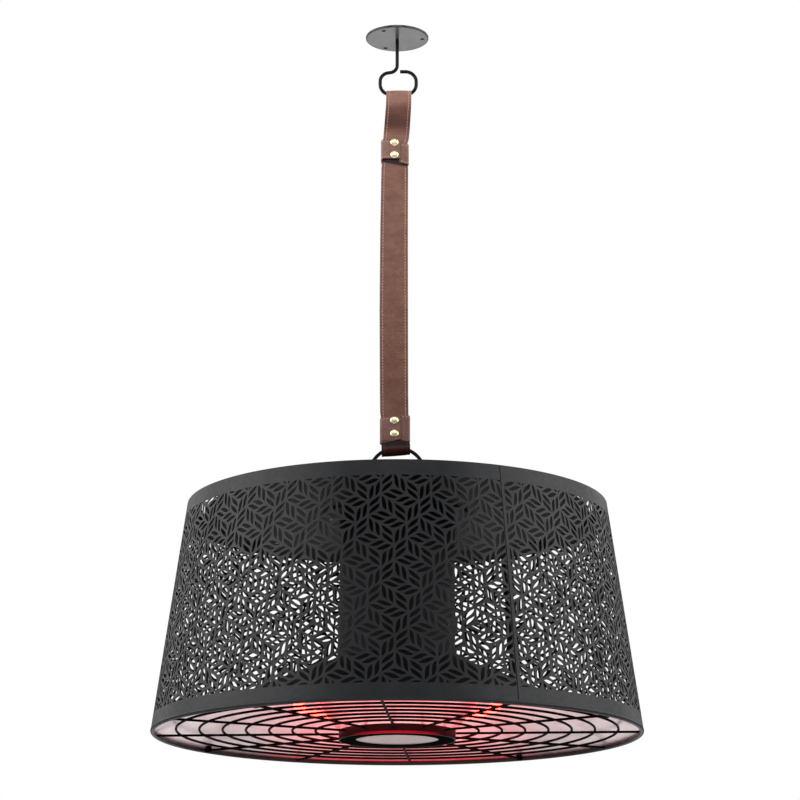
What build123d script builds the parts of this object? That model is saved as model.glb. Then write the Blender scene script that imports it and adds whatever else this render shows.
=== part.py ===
from build123d import *
from math import degrees, radians
import os

# Hanging patio heater: a wide perforated shade on a leather strap.
# Millimetres, +Z up. The origin is the middle of the ceiling plate's top face.
# Bearings are degrees round the vertical axis, from the near side (-Y) towards +X.

# Shade
drop = 917.0            # ceiling face to the plane of the shade's mouth
mouth_r = 300.0
crown_inset = 39.0      # how much narrower the top is, all round
shade_height = 284.0
sheet = 1.2
hem_r = 2.75
panel_count = 3
seam_bearing = 26.0
seam_gap = 0.4
seam_strip_width = 24.0
seam_strip_sheet = 1.0
solid_band = 20.0
window_columns = 8      # plain openings across one panel; the real sheet has small leaf-shaped slots
window_rows = 4
window_share = 0.62     # of the pitch between two openings
flange_width = 15.0
disc_gap = 6.0
disc_inset = 6.95       # top of the shade to the carrying disc's top face
disc_sheet = 2.0

# Ceiling plate
plate_r = 41.0
plate_sheet = 3.0
plate_edge = 0.6
plate_hole_r = 2.25
plate_hole_circle_r = 33.0
plate_hole_count = 3
plate_hole_bearing = -32.0

# Ceiling hook: a bent wire, its points across and down from the plate's middle
hook_wire_r = 2.25
hook_stem = 48.5        # ceiling to the corner where the stem turns left
hook_shoulder = 51.5
hook_base = 80.5
hook_left = 22.2
hook_right = 24.8
hook_top_run = 48.5
hook_tip = 3.7
hook_stem_bend = 10.0
hook_shoulder_bend = 12.0
hook_bend = 14.0

# Strap
strap_layer = 3.5       # one leather layer; the band is sewn double
strap_top_width = 33.0
strap_base_width = 36.5
upper_neck = 18.0
lower_neck = 14.0
neck_drop = 5.0
neck_lift = 3.0
running_fit = 0.05
keeper_height = 33.0
upper_keeper_top = 142.0
lower_keeper_lift = 40.6    # ring's top to the lower keeper's top
keeper_wall = 1.5
leather_gap = 0.3
rivet_head_r = 5.25
rivet_head = 2.0
rivet_round = 1.2
rivet_shank_r = 1.6
rivet_shift = 3.6
rivet_pitch = 17.0
rivet_edge = 6.5

# Suspension ring and eye bolt
ring_r = 35.0           # to the middle of the wire
ring_wire_r = 2.25
ring_slack = 0.8
eye_hole_r = 5.0
eye_wire_r = 2.75
eye_gap = 0.3
eye_sink = 1.0
eye_collar_r = 11.0
eye_collar = 3.0
eye_shank_r = 4.0
eye_shank = 24.0
washer_r = 12.0
washer = 2.0
eye_nut_flats = 13.0
eye_nut = 6.5

# Disc brackets
bracket_count = 4
bracket_bearing = 45.0
bracket_width = 20.0
bracket_bar = 2.0
bracket_length = 48.0
bracket_reach = 11.0    # how far a bracket goes under the top flange
bracket_screw_inset = 14.0

# Small screws
screw_r = 2.0
screw_head_r = 3.8
screw_head = 2.2
screw_round = 0.8
screw_tail = 2.5
hole_gap = 0.1
seat_gap = 0.2
overrun = 5.0

# Column and housing
column_r = 71.4
column_wall = 1.5
column_low = 62.0
column_flange_r = 92.0
column_flange = 3.0
column_screw_r = 82.0
column_screw_count = 4
housing_base = -5.6     # below the plane of the mouth
spigot_wall = 1.6
spigot_height = 24.0
spigot_screw_count = 3
spigot_screw = 5.0

# Lamp in the housing's underside
bezel_gap = 0.05
bezel_ledge = 4.5
bezel_ledge_thick = 1.1
lens_r = 51.45
lens_recess = 1.9
lens_thick = 3.0
board_thick = 1.6
board_post = 2.6
board_post_r = 2.5
board_post_circle_r = 49.0
board_post_count = 3
chip_side = 3.0
chip_thick = 0.8
chip_circle_r = 30.0
chip_count = 12

# Controls on the chassis plate
chassis_lift = 6.0
chassis_sheet = 1.5
wire_hole_r = 8.0
control_length = 80.0
control_width = 46.0
control_height = 25.0
control_round = 3.0
control_shift = 14.0
block_length = 40.0
block_width = 16.0
block_height = 14.0
block_shift = 32.0
block_screw_r = 2.2
block_slot = 2.0
block_ways = 4

# Reflector, an annular trough with its crest over the heating ring
reflector_sheet = 1.0
reflector_inner = 6.0
reflector_crest = 60.0
crest_inner_r = 112.0
crest_outer_r = 134.0
slope_bend_r = 190.0     # where the outer slope turns flatter
slope_bend = 36.5

# Casing over the reflector
casing_top = 93.5
casing_shoulder = 11.0   # over the reflector's crest
casing_bend = 8.5        # over the bend in the reflector's outer slope
casing_edge = 13.8
casing_collar = 12.0
pad_inner_r = 146.0
pad_edge_inset = 38.0    # from the shade's mouth radius to the pad's outer edge
pad_thick = 5.0

# Heating ring
element_r = 123.0       # to the middle of the tube
element_tube_r = 4.25
element_level = 37.0
element_open = 16.0     # degrees left open between the two ends
element_bearing = 180.0
element_end = 66.0
element_stud_r = 2.0
element_stud = 3.5
bushing_r = 7.0
bushing_height = 4.5
terminal_nut_flats = 7.0
terminal_nut = 2.5
holder_count = 4
holder_width = 16.0
holder_bar = 2.0
holder_drop = 7.0
holder_round = 3.0
cutout_r = 8.0
cutout_height = 8.0
cutout_bearing = 120.0
cutout_tab = 1.2
cutout_tab_length = 21.0
cutout_tab_width = 9.0

# Guard
guard_wire_r = 1.5
guard_ring_count = 7
spoke_count = 12
spoke_bearing = -3.5
clip_count = 4
clip_bearing = 56.5
clip_inset = 10.0
clip_length = 6.0
clip_wall = 1.2

# Cable gland, empty: no cord is fitted
gland_place = 40.0
gland_thread_r = 8.0
gland_bore_r = 4.0
gland_flats = 22.0
gland_hex = 6.0
gland_dome_r = 9.0
gland_dome = 12.0
gland_round = 2.5
gland_thread = 10.0
gland_nut_flats = 21.0
gland_nut = 4.0


def level(height):
    """Height above the plane of the shade's mouth, as a height in the part's frame."""
    return height - drop


def disc(radius, low, high):
    """Upright round bar between two heights."""
    bar = Cylinder(radius, high - low, align=(Align.CENTER, Align.CENTER, Align.MIN))
    return Pos(0, 0, low) * bar


def tube(outer, inner, low, high):
    """Upright tube between two heights."""
    return disc(outer, low, high) - disc(inner, low - overrun, high + overrun)


def hexagon(flats, low, high):
    """Upright hexagonal bar, given across its flats."""
    outline = RegularPolygon(flats / 2, 6, major_radius=False)
    return Pos(0, 0, low) * extrude(outline, high - low)


def lathe(points, arc=360.0):
    """Turn an outline of (radius, height) corners about the vertical axis."""
    line = Polyline([(radius, 0, height) for radius, height in points], close=True)
    return revolve(make_face(line), Axis.Z, arc)


def at_bearing(shape, bearing):
    """Turn a shape built towards +X to a bearing."""
    return Rot(0, 0, bearing - 90) * shape


def around(shape, count, bearing=0.0):
    """Copies of a shape, evenly spaced round the vertical axis."""
    return [at_bearing(shape, bearing + 360 * i / count) for i in range(count)]


def cut_all(shape, tools):
    """Take every tool out of a shape."""
    for tool in tools:
        shape -= tool
    return shape


def shade_r(height):
    """Outside radius of the shade at a height above its mouth."""
    return mouth_r - crown_inset * height / shade_height


def flange_inner_r():
    """Inner radius of the shade's top flange."""
    return shade_r(shade_height) - sheet - flange_width


def disc_top():
    """Top face of the carrying disc."""
    return level(shade_height - disc_inset)


def disc_base():
    return disc_top() - disc_sheet


def collar_top():
    """Top of the eye bolt's collar, which stands on the disc."""
    return disc_top() + eye_collar


def eye_middle():
    return collar_top() - eye_sink + eye_wire_r * 2 + eye_hole_r


def ring_middle():
    """Height of the ring's middle. The eye hangs on the ring's lowest point."""
    return eye_middle() + eye_hole_r - eye_gap - ring_wire_r + ring_r


def ring_top():
    """Height of the middle of the wire at the ring's top, where the strap holds it."""
    return ring_middle() + ring_r


def save(name, *shapes):
    """Write the solids of one node."""
    solids = [solid for shape in shapes for solid in shape.solids()]
    export_step(Compound(solids), f"parts/{name}.step")
    print(name, len(solids))


def screw(tip, seat):
    """Pan-head screw from its tip to the face that its head bears on."""
    head = disc(screw_head_r, seat, seat + screw_head)
    head = fillet(head.edges().sort_by(Axis.Z)[-1], screw_round)
    return head + disc(screw_r, tip, seat)


def screw_hole(radius, low, high):
    """Clearance hole for a screw, out along +X."""
    return Pos(radius, 0, 0) * disc(screw_r + hole_gap, low - overrun, high + overrun)


# Ceiling mount

def ceiling_plate():
    plate = disc(plate_r, -plate_sheet, 0)
    plate = chamfer(plate.edges().group_by(Axis.Z)[0], plate_edge)
    hole = Pos(plate_hole_circle_r, 0, 0) * disc(plate_hole_r, -plate_sheet - overrun, overrun)
    return cut_all(plate, around(hole, plate_hole_count, plate_hole_bearing))


def hook_path():
    corners = [(0, -plate_sheet), (0, -hook_stem), (-hook_left, -hook_shoulder),
               (-hook_left, -hook_base), (hook_right, -hook_base),
               (hook_right, -hook_top_run), (hook_tip, -hook_top_run)]
    bends = [hook_stem_bend, hook_shoulder_bend, hook_bend, hook_bend, hook_bend]
    return FilletPolyline(*[(x, 0, z) for x, z in corners], radius=bends)


def ceiling_hook():
    path = hook_path()
    section = Plane(origin=path @ 0, z_dir=path % 0) * Circle(hook_wire_r)
    return sweep(section, path=path)


# Strap

def cross_bar(radius, width, height):
    """Round bar along X through the vertical axis at a height."""
    return Pos(0, 0, height) * Rot(0, 90, 0) * Cylinder(radius, width)


def strap_width(height):
    """Width of the band at a height in the part's frame."""
    share = (-hook_base - height) / (-hook_base - ring_top())
    return strap_top_width + (strap_base_width - strap_top_width) * share


def strap():
    """Doubled band with an eye round the hook and an eye round the ring."""
    upper_hole = hook_wire_r + running_fit
    lower_hole = ring_wire_r + ring_slack
    shoulder = -hook_base - neck_drop
    base = ring_top() + ring_wire_r + neck_lift
    top_half = strap_width(shoulder) / 2
    base_half = strap_width(base) / 2
    outline = [(upper_neck / 2, -hook_base), (upper_neck / 2, shoulder), (top_half, shoulder),
               (base_half, base), (lower_neck / 2, base), (lower_neck / 2, ring_top())]
    mirrored = [(-x, z) for x, z in reversed(outline)]
    face = make_face(Polyline([(x, 0, z) for x, z in outline + mirrored], close=True))
    band = extrude(face, strap_layer, both=True)
    band += cross_bar(upper_hole + strap_layer, upper_neck, -hook_base)
    band += cross_bar(lower_hole + strap_layer, lower_neck, ring_top())
    band -= cross_bar(upper_hole, strap_base_width + overrun, -hook_base)
    band -= cross_bar(lower_hole, strap_base_width + overrun, ring_top())
    return cut_all(band, [rivet_bore(place) for place in rivet_places()])


def keeper_tops():
    """Heights of the upper edges of the two keepers."""
    return -upper_keeper_top, ring_top() + lower_keeper_lift


def rivet_places():
    """Heights of the four rivets, two in each keeper."""
    return [top - rivet_edge - rivet_pitch * i for top in keeper_tops() for i in range(2)]


def cross_pin(radius, depth, height):
    """Round bar along Y at the rivets' place across the strap."""
    return Pos(-rivet_shift, 0, height) * Rot(90, 0, 0) * Cylinder(radius, depth)


def rivet_bore(height):
    return cross_pin(rivet_shank_r + leather_gap, strap_layer * 2 + overrun * 2, height)


def keeper_depth():
    """Half the outside depth of a keeper, front to back."""
    return strap_layer + leather_gap + keeper_wall


def keeper(top):
    """Leather sleeve round the band."""
    middle = top - keeper_height / 2
    half = strap_width(top - keeper_height) / 2 + leather_gap
    outer = Box((half + keeper_wall) * 2, keeper_depth() * 2, keeper_height)
    outer = fillet(outer.edges().filter_by(Axis.Z), keeper_wall)
    inner = Box(half * 2, (strap_layer + leather_gap) * 2, keeper_height + overrun)
    sleeve = Pos(0, 0, middle) * (outer - inner)
    return cut_all(sleeve, [rivet_bore(place) for place in rivet_places()])


def strap_rivets():
    """Each rivet is a shank with a rounded head at both ends."""
    head = Cylinder(rivet_head_r, rivet_head)
    head = fillet(head.edges().group_by(Axis.Z)[-1], rivet_round)
    reach = keeper_depth() + rivet_head / 2
    rivets = []
    for place in rivet_places():
        rivet = cross_pin(rivet_shank_r, keeper_depth() * 2, place)
        rivet += Pos(-rivet_shift, -reach, place) * Rot(90, 0, 0) * head
        rivet += Pos(-rivet_shift, reach, place) * Rot(-90, 0, 0) * head
        rivets.append(rivet)
    return rivets


# Suspension ring and eye bolt

def suspension_ring():
    return Pos(0, 0, ring_middle()) * Rot(90, 0, 0) * Torus(ring_r, ring_wire_r)


def eye_bolt():
    eye = Torus(eye_hole_r + eye_wire_r, eye_wire_r)
    bolt = Pos(0, 0, eye_middle()) * Rot(0, 90, 0) * eye
    bolt += disc(eye_collar_r, disc_top(), collar_top())
    return bolt + disc(eye_shank_r, disc_top() - eye_shank, disc_top())


def eye_washer():
    return tube(washer_r, eye_shank_r + hole_gap, disc_base() - washer, disc_base())


def eye_lock_nut():
    high = disc_base() - washer
    nut = hexagon(eye_nut_flats, high - eye_nut, high)
    return nut - disc(eye_shank_r + running_fit, high - eye_nut - overrun, high + overrun)


# Shade

def cone_sheet(low, high, inset, thickness, arc=360.0):
    """Conical sheet, set in from the shade's outer face, between two heights."""
    outer_low = shade_r(low) - inset
    outer_high = shade_r(high) - inset
    outline = [(outer_low, level(low)), (outer_high, level(high)),
               (outer_high - thickness, level(high)), (outer_low - thickness, level(low))]
    return lathe(outline, arc)


def shade_panel(index):
    """One of the sheets that make the shade, from seam to seam."""
    gap = degrees(seam_gap / mouth_r)
    arc = 360 / panel_count - gap
    start = seam_bearing + 360 * index / panel_count + gap / 2
    panel = at_bearing(cone_sheet(hem_r * 2, shade_height, 0, sheet, arc), start)
    return cut_all(panel, windows(start, arc))


def windows(start, arc):
    """Plain openings of one panel, between its solid bands."""
    column_pitch = arc / window_columns
    row_pitch = (shade_height - solid_band * 2) / window_rows
    openings = []
    for row in range(window_rows):
        height = solid_band + row_pitch * (row + 0.5)
        width = radians(column_pitch * window_share) * shade_r(height)
        opening = Pos(shade_r(height), 0, level(height))
        opening *= Box(crown_inset, width, row_pitch * window_share)
        for column in range(window_columns):
            openings.append(at_bearing(opening, start + column_pitch * (column + 0.5)))
    return openings


def seam_strips():
    """Backing strips behind the seams, between the shade's solid bands."""
    arc = degrees(seam_strip_width / mouth_r)
    high = shade_height - solid_band
    strip = cone_sheet(solid_band, high, sheet + seat_gap, seam_strip_sheet, arc)
    return around(strip, panel_count, seam_bearing - arc / 2)


def top_flange():
    low = level(shade_height - sheet)
    outer = shade_r(shade_height) - sheet - hole_gap
    return tube(outer, flange_inner_r(), low, level(shade_height))


def bottom_hem():
    return Pos(0, 0, level(hem_r)) * Torus(mouth_r - hem_r, hem_r)


# Carrying disc

def top_disc():
    low, high = disc_base(), disc_top()
    plate = tube(flange_inner_r() - disc_gap, eye_shank_r + hole_gap, low, high)
    plate -= Pos(0, gland_place, 0) * disc(gland_thread_r + hole_gap, low - overrun, high + overrun)
    plate = cut_all(plate, around(screw_hole(bracket_screw_r(), low, high), bracket_count, bracket_bearing))
    return cut_all(plate, around(screw_hole(column_screw_r, low, high), column_screw_count))


def bracket_outer_r():
    return flange_inner_r() + bracket_reach


def bracket_screw_r():
    return bracket_outer_r() - bracket_length + bracket_screw_inset


def disc_brackets():
    """Bars on the disc that turn up to the shade's top flange."""
    low = disc_top()
    bar_top = low + bracket_bar
    flange_low = level(shade_height - sheet)
    outer_r = bracket_outer_r()
    inner_r = outer_r - bracket_length
    riser_r = outer_r - bracket_bar
    outline = [(inner_r, low), (outer_r, low), (outer_r, flange_low),
               (riser_r, flange_low), (riser_r, bar_top), (inner_r, bar_top)]
    face = make_face(Polyline([(x, 0, z) for x, z in outline], close=True))
    bar = extrude(face, bracket_width / 2, both=True)
    bar -= screw_hole(bracket_screw_r(), low, bar_top)
    return around(bar, bracket_count, bracket_bearing)


def bracket_screws():
    fixing = screw(disc_base() - screw_tail, disc_top() + bracket_bar)
    fixing = Pos(bracket_screw_r(), 0, 0) * fixing
    return around(fixing, bracket_count, bracket_bearing)


# Column

def column_tube():
    return tube(column_r, column_r - column_wall, level(column_low), disc_base())


def column_collar():
    """Ring round the column's top, screwed to the disc."""
    low = disc_base() - column_flange
    ring = tube(column_flange_r, column_r + running_fit, low, disc_base())
    return cut_all(ring, around(screw_hole(column_screw_r, low, disc_base()), column_screw_count))


def column_screws():
    tip = disc_base() - column_flange - screw_tail
    fixing = Pos(column_screw_r, 0, 0) * screw(tip, disc_top())
    return around(fixing, column_screw_count)


# Reflector, casing and insulation

def rim_height():
    """Underside of the reflector's edge, just over the hem."""
    return hem_r * 2 + seat_gap


def rim_r():
    return shade_r(rim_height() + reflector_sheet) - sheet - seat_gap


def reflector_underside(radius):
    """Height of the outer slope's underside at a radius."""
    if radius < slope_bend_r:
        slope = (reflector_crest - slope_bend) / (slope_bend_r - crest_outer_r)
    else:
        slope = (slope_bend - rim_height()) / (rim_r() - slope_bend_r)
    return slope_bend + (slope_bend_r - radius) * slope


def reflector():
    inner_r = column_r + seat_gap
    under = [(inner_r, reflector_inner), (crest_inner_r, reflector_crest),
             (crest_outer_r, reflector_crest), (slope_bend_r, slope_bend), (rim_r(), rim_height())]
    over = [(radius, height + reflector_sheet) for radius, height in reversed(under)]
    trough = lathe([(radius, level(height)) for radius, height in under + over])
    bore = Pos(element_r, 0, level(0)) * disc(element_tube_r + hole_gap, 0, drop)
    return cut_all(trough, element_ends(bore))


def casing_cone():
    """Cone over the reflector, with a collar round the column."""
    inner_r = column_r + seat_gap
    edge_r = shade_r(casing_edge) - sheet - seat_gap
    top = casing_top + casing_collar
    shoulder, bend = reflector_crest + casing_shoulder, slope_bend + casing_bend
    outline = [(inner_r, top), (inner_r + sheet, top), (inner_r + sheet, casing_top),
               (crest_outer_r, shoulder), (slope_bend_r, bend), (edge_r, casing_edge),
               (edge_r, casing_edge - sheet), (slope_bend_r, bend - sheet),
               (crest_outer_r, shoulder - sheet), (inner_r, casing_top - sheet)]
    return lathe([(radius, level(height)) for radius, height in outline])


def insulation_pad():
    """Fibre pad on the reflector's outer slope."""
    lift = reflector_sheet + leather_gap
    edges = (pad_inner_r, slope_bend_r, mouth_r - pad_edge_inset)
    low = [(radius, reflector_underside(radius) + lift) for radius in edges]
    high = [(radius, height + pad_thick) for radius, height in reversed(low)]
    return lathe([(radius, level(height)) for radius, height in low + high])


# Heating ring

def element_ends(shape):
    """The same shape at both ends of the heating ring."""
    bearings = (element_bearing - element_open / 2, element_bearing + element_open / 2)
    return [at_bearing(shape, bearing) for bearing in bearings]


def heating_ring():
    """Tube bent into an open ring, with both ends turned up through the reflector."""
    section = Pos(element_r, 0, level(element_level)) * Rot(90, 0, 0) * Circle(element_tube_r)
    ring = revolve(section, Axis.Z, 360 - element_open)
    ring = at_bearing(ring, element_bearing + element_open / 2)
    low = level(element_level) - element_tube_r
    end = disc(element_tube_r, low, level(element_end))
    end += disc(element_stud_r, level(element_end), level(element_end) + element_stud)
    for shape in element_ends(Pos(element_r, 0, 0) * end):
        ring += shape
    return ring


def terminal_bushings():
    low = level(reflector_crest + reflector_sheet)
    bushing = tube(bushing_r, element_tube_r + hole_gap, low, low + bushing_height)
    return element_ends(Pos(element_r, 0, 0) * bushing)


def terminal_nuts():
    low = level(element_end)
    nut = hexagon(terminal_nut_flats, low, low + terminal_nut)
    nut -= disc(element_stud_r + running_fit, low - overrun, low + overrun)
    return element_ends(Pos(element_r, 0, 0) * nut)


def element_holders():
    """Plates under the reflector's crest, with an eye for the heating ring."""
    low = level(element_level) - holder_drop
    high = level(reflector_crest)
    plate = Pos(element_r, 0, (low + high) / 2) * Box(holder_width, holder_bar, high - low)
    plate = fillet(plate.edges().filter_by(Axis.Y).group_by(Axis.Z)[0], holder_round)
    eye = Rot(90, 0, 0) * Cylinder(element_tube_r + hole_gap, holder_width)
    plate -= Pos(element_r, 0, level(element_level)) * eye
    return around(plate, holder_count, bracket_bearing)


def thermal_cutout():
    """Round can on a tab, on the reflector's crest."""
    low = level(reflector_crest + reflector_sheet)
    can = Pos(element_r, 0, low + cutout_tab / 2) * Box(cutout_tab_width, cutout_tab_length, cutout_tab)
    can += Pos(element_r, 0, 0) * disc(cutout_r, low, low + cutout_height)
    return at_bearing(can, cutout_bearing)


# Guard

def guard_spokes():
    """Straight wires from the housing to the hem."""
    inner_r = column_r + seat_gap
    length = mouth_r - hem_r * 2 - seat_gap - inner_r
    spoke = Rot(0, 90, 0) * Cylinder(guard_wire_r, length)
    spoke = Pos(inner_r + length / 2, 0, level(hem_r)) * spoke
    return around(spoke, spoke_count, spoke_bearing)


def guard_rings():
    """Wire rings that lie on the spokes, evenly spaced between the housing and the hem."""
    height = level(hem_r) + guard_wire_r * 2
    pitch = (mouth_r - hem_r - column_r) / (guard_ring_count + 1)
    radii = [column_r + pitch * (i + 1) for i in range(guard_ring_count)]
    return [Pos(0, 0, height) * Torus(radius, guard_wire_r) for radius in radii]


def guard_clips():
    """Channels that hold the spokes up to the reflector."""
    clip_r = mouth_r - clip_inset
    high = reflector_underside(clip_r - clip_length / 2)
    slot = guard_wire_r + hole_gap
    body = Pos(clip_r, 0, level(high / 2)) * Box(clip_length, (slot + clip_wall) * 2, high)
    body -= Pos(clip_r, 0, level(clip_wall + high / 2)) * Box(clip_length * 2, slot * 2, high)
    near, far = clip_r - clip_length, clip_r + clip_length
    slope = [(near, reflector_underside(near) - seat_gap), (far, reflector_underside(far) - seat_gap),
             (far, high * 2), (near, high * 2)]
    body -= lathe([(radius, level(height)) for radius, height in slope])
    return around(body, clip_count, clip_bearing)


# Housing and lamp

def housing_shell():
    low, high = level(housing_base), level(column_low - seat_gap)
    shell = tube(column_r, column_r - column_wall, low, high)
    bore = Pos(column_r, 0, level(screw_level())) * Rot(0, 90, 0) * Cylinder(screw_r + hole_gap, overrun * 2)
    return cut_all(shell, around(bore, spigot_screw_count))


def screw_level():
    """Height of the screws that hold the housing to the spigot."""
    return column_low - spigot_height / 4


def housing_spigot():
    outer = column_r - column_wall - running_fit
    low = level(column_low - spigot_height / 2)
    ring = tube(outer, outer - spigot_wall, low, low + spigot_height)
    bore = Pos(outer, 0, level(screw_level())) * Rot(0, 90, 0) * Cylinder(screw_r + hole_gap, overrun * 2)
    return cut_all(ring, around(bore, spigot_screw_count))


def spigot_screws():
    fixing = Rot(0, 90, 0) * screw(column_r - spigot_screw, column_r)
    return around(Pos(0, 0, level(screw_level())) * fixing, spigot_screw_count)


def lens_top():
    return housing_base + lens_recess + lens_thick


def bezel_top():
    return lens_top() + bezel_ledge_thick


def lens_bezel():
    """Ring that closes the housing round the lens."""
    outer = column_r - column_wall - bezel_gap
    hole, ledge = lens_r + bezel_gap, lens_r - bezel_ledge
    outline = [(outer, housing_base), (outer, bezel_top()), (ledge, bezel_top()),
               (ledge, lens_top()), (hole, lens_top()), (hole, housing_base)]
    return lathe([(radius, level(height)) for radius, height in outline])


def lamp_lens():
    return disc(lens_r, level(housing_base + lens_recess), level(lens_top()))


def board_base():
    return bezel_top() + board_post


def board_posts():
    post = Pos(board_post_circle_r, 0, 0) * disc(board_post_r, level(bezel_top()), level(board_base()))
    return around(post, board_post_count)


def led_board():
    radius = board_post_circle_r + board_post_r
    return disc(radius, level(board_base()), level(board_base() + board_thick))


def led_chips():
    middle = level(board_base() - chip_thick / 2)
    chip = Pos(chip_circle_r, 0, middle) * Box(chip_side, chip_side, chip_thick)
    return around(chip, chip_count)


def chassis_top():
    return board_base() + board_thick + chassis_lift


def chassis_plate():
    high = level(chassis_top())
    return tube(column_r - column_wall - seat_gap, wire_hole_r, high - chassis_sheet, high)


def control_box():
    middle = level(chassis_top() + control_height / 2)
    box = Box(control_length, control_width, control_height)
    box = fillet(box.edges().filter_by(Axis.Z), control_round)
    return Pos(0, -control_shift, middle) * box


def terminal_block():
    """Block with a screw well in each way."""
    high = level(chassis_top() + block_height)
    block = Pos(0, block_shift, high - block_height / 2) * Box(block_length, block_width, block_height)
    pitch = block_length / block_ways
    for i in range(block_ways):
        across = (i + 0.5) * pitch - block_length / 2
        block -= Pos(across, block_shift, 0) * disc(block_screw_r, high - block_slot, high + overrun)
    return block


# Cable gland

def cable_gland():
    """Empty gland in the disc, over the column."""
    low = disc_top()
    dome = disc(gland_dome_r, low, low + gland_hex + gland_dome)
    dome = fillet(dome.edges().group_by(Axis.Z)[-1], gland_round)
    body = dome + hexagon(gland_flats, low, low + gland_hex)
    body += disc(gland_thread_r, disc_base() - gland_thread, low)
    body -= disc(gland_bore_r, disc_base() - gland_thread - overrun, low + gland_hex + gland_dome + overrun)
    return Pos(0, gland_place, 0) * body


def gland_lock_nut():
    high = disc_base()
    nut = hexagon(gland_nut_flats, high - gland_nut, high)
    nut -= disc(gland_thread_r + running_fit, high - gland_nut - overrun, high + overrun)
    return Pos(0, gland_place, 0) * nut


save("ceiling_plate", ceiling_plate())
save("ceiling_hook", ceiling_hook())
save("strap", strap())
save("upper_keeper", keeper(keeper_tops()[0]))
save("lower_keeper", keeper(keeper_tops()[1]))
save("strap_rivets", *strap_rivets())
save("suspension_ring", suspension_ring())
save("eye_bolt", eye_bolt())
save("eye_washer", eye_washer())
save("eye_lock_nut", eye_lock_nut())
save("top_disc", top_disc())
save("disc_brackets", *disc_brackets())
save("bracket_screws", *bracket_screws())
for panel in range(panel_count):
    save(f"shade_panel_{panel + 1}", shade_panel(panel))
save("seam_strips", *seam_strips())
save("top_flange", top_flange())
save("bottom_hem", bottom_hem())
save("column_tube", column_tube())
save("column_collar", column_collar())
save("column_screws", *column_screws())
save("reflector", reflector())
save("casing_cone", casing_cone())
save("insulation_pad", insulation_pad())
save("heating_ring", heating_ring())
save("terminal_bushings", *terminal_bushings())
save("terminal_nuts", *terminal_nuts())
save("element_holders", *element_holders())
save("thermal_cutout", thermal_cutout())
save("guard_spokes", *guard_spokes())
save("guard_rings", *guard_rings())
save("guard_clips", *guard_clips())
save("housing_shell", housing_shell())
save("housing_spigot", housing_spigot())
save("spigot_screws", *spigot_screws())
save("lens_bezel", lens_bezel())
save("lamp_lens", lamp_lens())
save("led_board", led_board())
save("led_chips", *led_chips())
save("board_posts", *board_posts())
save("chassis_plate", chassis_plate())
save("control_box", control_box())
save("terminal_block", terminal_block())
save("cable_gland", cable_gland())
save("gland_lock_nut", gland_lock_nut())
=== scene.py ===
import math

import bmesh
import bpy
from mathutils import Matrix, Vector
from mathutils.geometry import delaunay_2d_cdt


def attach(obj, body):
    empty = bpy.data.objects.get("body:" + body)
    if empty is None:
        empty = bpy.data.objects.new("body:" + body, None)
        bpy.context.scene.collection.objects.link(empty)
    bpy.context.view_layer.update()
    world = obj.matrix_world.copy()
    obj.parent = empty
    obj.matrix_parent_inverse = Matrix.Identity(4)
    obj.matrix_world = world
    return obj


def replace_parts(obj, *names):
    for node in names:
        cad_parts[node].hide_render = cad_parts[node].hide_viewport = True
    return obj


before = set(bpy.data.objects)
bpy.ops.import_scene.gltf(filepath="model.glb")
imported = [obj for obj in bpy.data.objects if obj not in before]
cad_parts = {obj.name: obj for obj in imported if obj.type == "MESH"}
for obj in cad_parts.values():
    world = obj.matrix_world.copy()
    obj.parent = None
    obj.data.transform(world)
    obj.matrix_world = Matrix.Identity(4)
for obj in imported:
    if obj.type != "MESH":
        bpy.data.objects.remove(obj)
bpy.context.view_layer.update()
MM = 0.001

# Lengths are in millimetres, except where metres are named. Bearings are in degrees, from the
# front towards +X. The origin is the middle of the ceiling plate's top face.
DROP = 917.0            # ceiling face to the plane of the shade's mouth
MOUTH_R = 300.0         # outer radius of the shade's sheet at its mouth
CROWN_INSET = 39.0      # how much smaller that radius is at the top
SHADE_HEIGHT = 284.0
SHEET = 1.2             # thickness of the shade's sheet
HEM = 5.5               # height of the rolled hem at the mouth


# Camera and light, in metres

CAMERA_PLACE = (0.0, -3.1137, -1.3271)
CAMERA_PITCH = 15.0
CAMERA_LENS = 114.9         # millimetres, as is the sensor's width
CAMERA_SENSOR = 36.0
CAMERA_SHIFT = 0.0035
CAMERA_REACH = 100.0
ROOM_LIGHT = 0.24           # strength of the surroundings where they light the object
LAMP_TARGET = (0.0, 0.0, -0.7)
# Name, power, place, and width and height of each softbox
LAMPS = [("left_light", 104.0, (-2.9, -0.9, 0.6), (4.4, 2.4)),
         ("right_light", 98.0, (2.9, -0.9, 0.6), (4.4, 2.4)),
         ("back_left_light", 13.0, (-2.3, 2.1, 0.5), (2.0, 1.8)),
         ("back_right_light", 12.0, (2.3, 2.1, 0.5), (2.0, 1.8)),
         ("front_light", 9.0, (0.0, -3.2, -2.0), (2.0, 0.6)),
         ("upper_light", 24.0, (0.0, -3.0, 1.6), (2.0, 0.7)),
         ("rear_light", 7.0, (0.0, 3.2, -1.8), (3.2, 0.8))]
FLOOR_HEIGHT = -2.3
FLOOR_SIDE = 14.0


def make_camera():
    data = bpy.data.cameras.new("camera")
    data.lens = CAMERA_LENS
    data.sensor_width = CAMERA_SENSOR
    data.shift_x = CAMERA_SHIFT
    data.clip_end = CAMERA_REACH
    camera = bpy.data.objects.new("camera", data)
    camera.location = CAMERA_PLACE
    camera.rotation_euler = (math.radians(90 + CAMERA_PITCH), 0, 0)
    bpy.context.scene.collection.objects.link(camera)
    bpy.context.scene.camera = camera


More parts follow.
